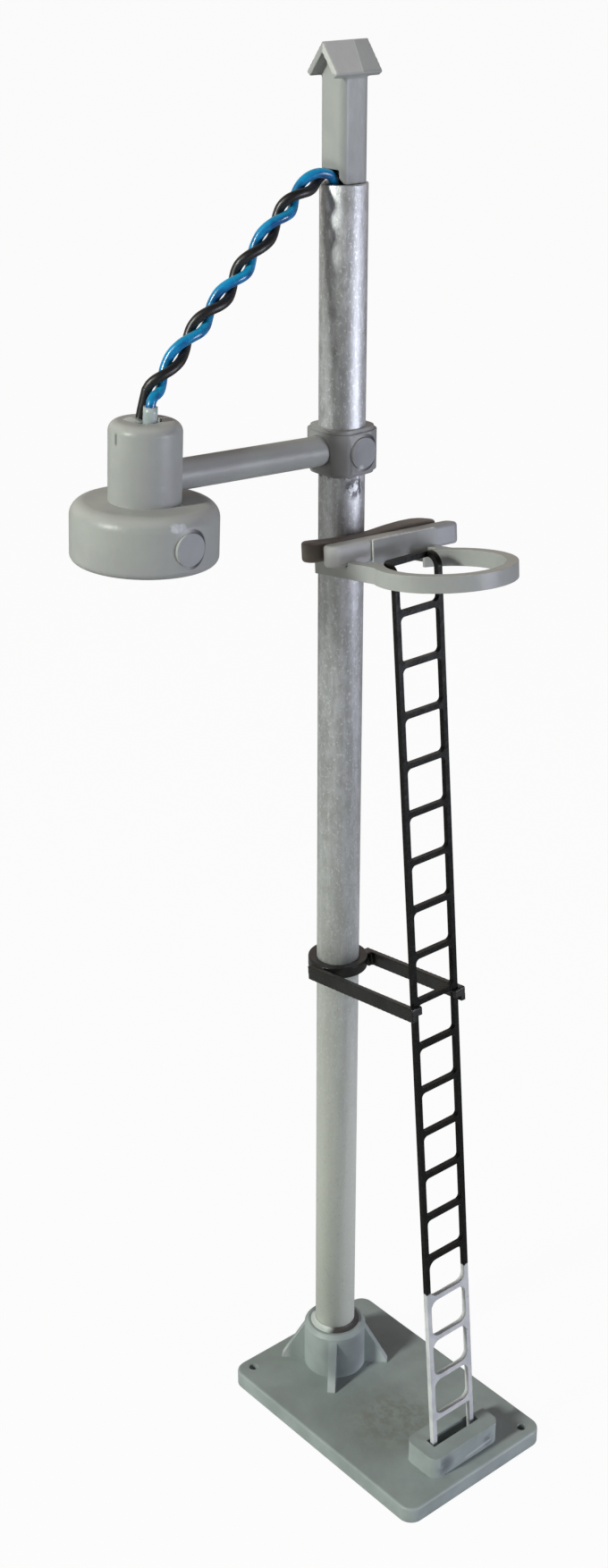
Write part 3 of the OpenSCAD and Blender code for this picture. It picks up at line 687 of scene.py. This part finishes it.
def makeTube(look):
    low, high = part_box("mast_tube")
    bottom, top = low.z / mm, high.z / mm
    outer, inner, rim = tube["outer"], tube["outer"] - tube["wall"], tube["rim"]
    corner = rim * tube["corner"]
    outline = [(outer, bottom), (outer, top - rim), (outer - corner, top - corner), (outer - rim, top),
               (inner + rim, top), (inner + corner, top - corner), (inner, top - rim), (inner, bottom)]
    addPiece("mastTube", lathe("mastTube", outline, tube["steps"]), "mast_tube", look)


# Wires

wires = {
    "route": [  # mm, the pair's centre line from the lamp to the tube's mouth, as in the frame
        (0, -20.1, 107.3), (0, -19.45, 107.9), (0, -18.6, 108.7), (0, -16.3, 110.95), (0, -14, 112.9),
        (0, -11.5, 114.95), (0, -9.8, 116.65), (0, -7, 119.2), (0, -5.3, 120.7), (0, -4.1, 121.5),
        (-0.05, -3, 122.05), (-0.1, -2.1, 122.2), (-0.18, -1.45, 122.12), (-0.25, -0.9, 121.78),
        (-0.28, -0.65, 121.2), (-0.3, -0.58, 120.4)],
    "turns": [  # mm along the pair, degrees wound
        (0, 0), (1.9, 135), (5.3, 315), (8.3, 495), (11.4, 675), (14.2, 855), (17.5, 1035),
        (20.1, 1215), (22.3, 1350), (24, 1440), (25.2, 1500), (26.2, 1560), (40, 1560)],
    "radius": 0.4,
    "gap": 0.455,  # from the pair's centre line to a strand's
    "start": [(1.27, 2.9), (1.27, 3.1), (0.64, 3.75)],  # mm sideways, mm above the arm
    "leaves": {1: 6.0, -1: 4.9},  # where each strand starts to lean, mm above the arm
    "hidden": (119.4, 110, 80, 40, 10, 1.3),  # heights of the points inside the tube, mm
    "routeSteps": 14, "turnSteps": 8, "every": 4,  # how finely each line is drawn
}
lampArm = {"height": 99.65, "reach": 20.75, "rise": 2.9}  # mm, mm and degrees


def inLamp(sideways, height):  # a point above the arm's end, which leans with the arm
    rise = math.radians(lampArm["rise"])
    return np.array([sideways, -lampArm["reach"] * math.cos(rise) + height * math.sin(rise),
                     lampArm["height"] + lampArm["reach"] * math.sin(rise) + height * math.cos(rise)])


def outOfLamp(way, top, side):  # points on one side of the arm's end, the last one above the one before it
    return [inLamp(side * x, h) for x, h in [*way, (way[-1][0], top)]]


def smoothLine(points, steps):
    points = [np.array(p, float) for p in points]
    line = []
    for n in range(len(points) - 1):
        p0, p1 = points[max(n - 1, 0)], points[n]
        p2, p3 = points[n + 1], points[min(n + 2, len(points) - 1)]
        for t in np.arange(steps) / steps:
            line.append(0.5 * (2 * p1 + (p2 - p0) * t + (2 * p0 - 5 * p1 + 4 * p2 - p3) * t ** 2
                               + (3 * p1 - p0 - 3 * p2 + p3) * t ** 3))
    line.append(points[-1])
    return np.array(line)


def strandPath(side, phase):
    centre = smoothLine(wires["route"], wires["routeSteps"])
    gone = np.concatenate([[0], np.cumsum(np.linalg.norm(np.diff(centre, axis=0), axis=1))])
    knots = smoothLine([(s, t, 0) for s, t in wires["turns"]], wires["turnSteps"])
    turn = np.radians(np.interp(gone, knots[:, 0], knots[:, 1]) + phase)
    ahead = np.gradient(centre, axis=0)
    ahead /= np.linalg.norm(ahead, axis=1)[:, None]
    across = np.cross(ahead, [1, 0, 0])
    across /= np.linalg.norm(across, axis=1)[:, None]
    outward = np.cos(turn)[:, None] * np.array([1, 0, 0]) + np.sin(turn)[:, None] * across
    wound = centre + wires["gap"] * outward
    start = outOfLamp(wires["start"], wires["leaves"][side], side)
    foot = wound[-1]
    hidden = [(foot[0], foot[1], z) for z in wires["hidden"]]
    every = wires["every"]
    joined = smoothLine([*start, wound[every], *wound[2 * every:-every:every]], every)
    return [*joined, *wound[-every:], *hidden]


sleeves = {
    "way": [(1.27, 1.45), (1.27, 3.1), (0.64, 3.75)],  # mm sideways, mm above the arm
    "top": {1: 5.95, -1: 4.3},
    "outer": 0.58,
    "bore": 0.46,
    "sides": 24,
}


def sleeveMesh(name, line):  # an outer and an inner wall joined by a ring at each end
    body = bmesh.new()
    for radius in (sleeves["outer"], sleeves["bore"]):
        part = bmesh.new()
        part.from_mesh(tubeAlong(name, line, radius, sleeves["sides"]))
        ends = [face for face in part.faces if len(face.verts) == sleeves["sides"]]
        bmesh.ops.delete(part, geom=ends, context="FACES_ONLY")
        wall = bpy.data.meshes.new(name)
        part.to_mesh(wall)
        part.free()
        body.from_mesh(wall)
    loops = [edge for edge in body.edges if edge.is_boundary]
    height = line[len(line) // 2][2] * mm
    for upper in (True, False):
        ring = [edge for edge in loops if (edge.verts[0].co.z > height) == upper]
        bmesh.ops.bridge_loops(body, edges=ring)
    bmesh.ops.recalc_face_normals(body, faces=body.faces)
    return finishMesh(name, body)


def makeWires(looks):
    for node, name, side, phase, look in (("blue_wire", "blueWire", 1, 0, "blue"),
                                          ("black_wire", "blackWire", -1, 180, "blackWire")):
        mesh = tubeAlong(name, strandPath(side, phase), wires["radius"])
        addPiece(name, mesh, node, looks[look])
    for node, name, side, look in (("white_sleeve", "whiteSleeve", 1, "whiteSleeve"),
                                   ("black_sleeve", "blackSleeve", -1, "blackSleeve")):
        line = smoothLine(outOfLamp(sleeves["way"], sleeves["top"][side], side), wires["every"])
        addPiece(name, sleeveMesh(name, line), node, looks[look])
    print("wires wound")


# Flash and glue

flange = {  # mm, on the platform's own plane
    "face": 6.05, "near": -1.68, "far": 5.55, "low": -0.5, "top": 1.5,
    "thinnest": 0.06, "thickest": 0.15,  # radius of the bead of flash
    "spacing": 0.09, "wander": 0.07, "sides": 8,
}


def onPlatform(x, y, z):
    turn = Euler((math.radians(-platform["roll"]), math.radians(-platform["pitch"]), 0))
    return turn.to_matrix() @ Vector((x, y, z)) + Vector((0, 0, platform["height"]))


def unevenness(k):  # 0 to 1, with no regular beat
    return 0.5 + 0.5 * math.sin(5.1 * k) * math.sin(1.7 * k + 1) * math.cos(0.6 * k)


def makeFlash(look):  # thin ragged bead left by the mould along the flange's edges
    low, high = flange["thinnest"], flange["thickest"]
    near, far, bottom, top = (flange[key] for key in ("near", "far", "low", "top"))
    corners = [(near, bottom), (near, top), (far, top)]
    line = []
    for (y0, z0), (y1, z1) in zip(corners, corners[1:]):
        steps = int(math.dist((y0, z0), (y1, z1)) / flange["spacing"])
        line += [onPlatform(flange["face"], y0 + (y1 - y0) * k / steps, z0 + (z1 - z0) * k / steps)
                 for k in range(steps)]
    uneven = [unevenness(k) for k in range(len(line))]
    line = [point + Vector((0, 0, flange["wander"] * (u - 0.5))) for point, u in zip(line, uneven)]

    def radius(t):
        return low + (high - low) * uneven[int(t * (len(line) - 1))] ** 2

    mesh = tubeAlong("flangeFlash", line, radius, flange["sides"])
    mesh.materials.append(look)
    piece = newObject("flangeFlash", mesh)
    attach(piece, bodyOf["safety_hoop"])


glue = {"sideways": -0.62, "toFront": -0.78, "height": 4.72, "size": (0.95, 0.7, 0.28)}  # mm


def makeGlue(look):  # a dab where the wires enter the lamp
    centre = inLamp(glue["sideways"], glue["height"]) + np.array([0, glue["toFront"], 0])
    wide, deep, high = glue["size"]
    body = bmesh.new()
    bmesh.ops.create_icosphere(body, subdivisions=4, radius=1)
    for vert in body.verts:
        x, y, z = vert.co
        lump = 1 + 0.10 * math.sin(4 * x + 1) * math.cos(3 * y) + 0.06 * math.sin(7 * y + 2 * z)
        vert.co = (Vector((x * wide, y * deep, z * high)) * lump + Vector(centre)) * mm
    mesh = finishMesh("glandGlue", body)
    mesh.materials.append(look)
    piece = newObject("glandGlue", mesh)
    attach(piece, bodyOf["lamp_housing"])


# Floor, light and background

studio = {
    "floor": (0.50, 0.50, 0.50),
    "floorSize": 6,  # m
    "shownWhite": 0.96,  # how much of the floor looks white to the camera
    "backdrop": (1, 1, 1),
    "world": (0.78, 0.69, 0.63),
    "worldStrength": 0.14,
    "behind": 0.62,  # how bright the far side of the studio looks in reflections
    "farSide": (-0.76, 0.65, 0),  # the way to that side
    "mirrored": ("keyLamp", "fillLamp"),  # lamps that show in shiny surfaces
    "lamps": [  # name, position in mm, width and height in mm, power in W, colour
        ("keyLamp", (-36, -430, 300), (60, 110), 2.0, (0.96, 1.0, 0.93)),
        ("leftLamp", (-330, -300, 40), (240, 240), 0.5, (0.97, 1.0, 0.95)),
        ("fillLamp", (400, 195, 70), (220, 220), 1.34, (0.85, 0.88, 1.0)),
    ],
}


def makeWorld():  # white to the camera, dim all round, and brighter behind for shiny surfaces
    world = bpy.data.worlds.new("studioWorld")
    bpy.context.scene.world = world
    world.use_nodes = True
    tree = Tree(world.node_tree)
    tree.nodes.remove(tree.nodes["Background"])
    around = tree.add("ShaderNodeTexCoord", {}, {}, "Generated")
    far = tree.add("ShaderNodeVectorMath", {"operation": "DOT_PRODUCT"},
                   {0: around, 1: studio["farSide"]}, "Value")
    shiny = tree.add("ShaderNodeLightPath", {}, {}, "Is Glossy Ray")
    strength = far.step(0.1, 0.75) * shiny * studio["behind"] + studio["worldStrength"]
    lit = tree.add("ShaderNodeBackground", {}, {"Color": opaque(studio["world"]), "Strength": strength})
    seen = tree.add("ShaderNodeBackground", {}, {"Color": opaque(studio["backdrop"])})
    camera = tree.add("ShaderNodeLightPath", {}, {}, "Is Camera Ray")
    tree.feed(tree.nodes["World Output"].inputs["Surface"], tree.blend(camera, lit, seen))


def makeFloor():
    bpy.ops.mesh.primitive_plane_add(size=studio["floorSize"])
    floor = bpy.context.object
    floor.name = "studioFloor"
    paint = Finish("floorPaint")
    paint.set(baseColor=studio["floor"], roughness=0.9, specular=0.1)
    painted = Field(paint, paint.shader.outputs[0])
    glow = paint.add("ShaderNodeEmission", {}, {"Color": opaque(studio["backdrop"])})
    camera = paint.add("ShaderNodeLightPath", {}, {}, "Is Camera Ray")
    shown = paint.blend(camera * studio["shownWhite"], painted, glow)
    paint.feed(paint.nodes["Material Output"].inputs["Surface"], shown)
    floor.data.materials.append(paint.material)


def makeLamps():
    middle = (Vector(cadBounds[0]) + Vector(cadBounds[1])) / 2
    for name, place, size, power, colour in studio["lamps"]:
        data = bpy.data.lights.new(name, "AREA")
        data.shape = "ELLIPSE"
        data.size, data.size_y = (side * mm for side in size)
        data.energy = power
        data.color = colour
        lamp = newObject(name, data)
        lamp.location = Vector(place) * mm
        lamp.rotation_euler = (middle - lamp.location).to_track_quat("-Z", "Y").to_euler()
        lamp.visible_glossy = name in studio["mirrored"]


def makeStudio():
    bpy.context.scene.view_settings.view_transform = "Standard"
    makeWorld()
    makeFloor()
    makeLamps()
    print("studio lit")


def makeObject():  # widths and grids are in mm
    looks = makeMaterials()
    softEdges("baseMoulding", "base_moulding", looks["base"], width=0.14, segments=3)
    softEdges("ladder", "ladder", looks["ladder"], width=0.11, segments=3)
    melted("ladderStay", "ladder_stay", looks["black"], grid=0.07, smoothing=4, keep=0.35)
    makeRearBar(looks["dull"])
    softEdges("platformFrontBar", "platform_front_bar", looks["bar"], width=0.28, segments=3)
    softEdges("safetyHoop", "safety_hoop", looks["pale"], width=0.10, segments=2)
    softEdges("lampCollar", "lamp_collar", looks["collar"], width=0.10, segments=2)
    softEdges("lampHousing", "lamp_housing", looks["lamp"], width=0.12, segments=3)
    melted("finial", "finial", looks["finial"], grid=0.08, smoothing=8, keep=0.3)
    softEdges("mastCement", "mast_cement", looks["cement"], width=0.04, segments=2)
    for node, look in (("led_body", "lens"), ("led_anode_leg", "leg"), ("led_cathode_leg", "leg"),
                       ("solder_joints", "solder")):
        nodes[node].data.materials.clear()
        nodes[node].data.materials.append(looks[look])
    print("mouldings made")
    makeTube(looks["tube"])
    makeWires(looks)
    makeFlash(looks["flash"])
    makeGlue(looks["glue"])
    print("flash and glue added")


makeCamera()
makeObject()
makeStudio()
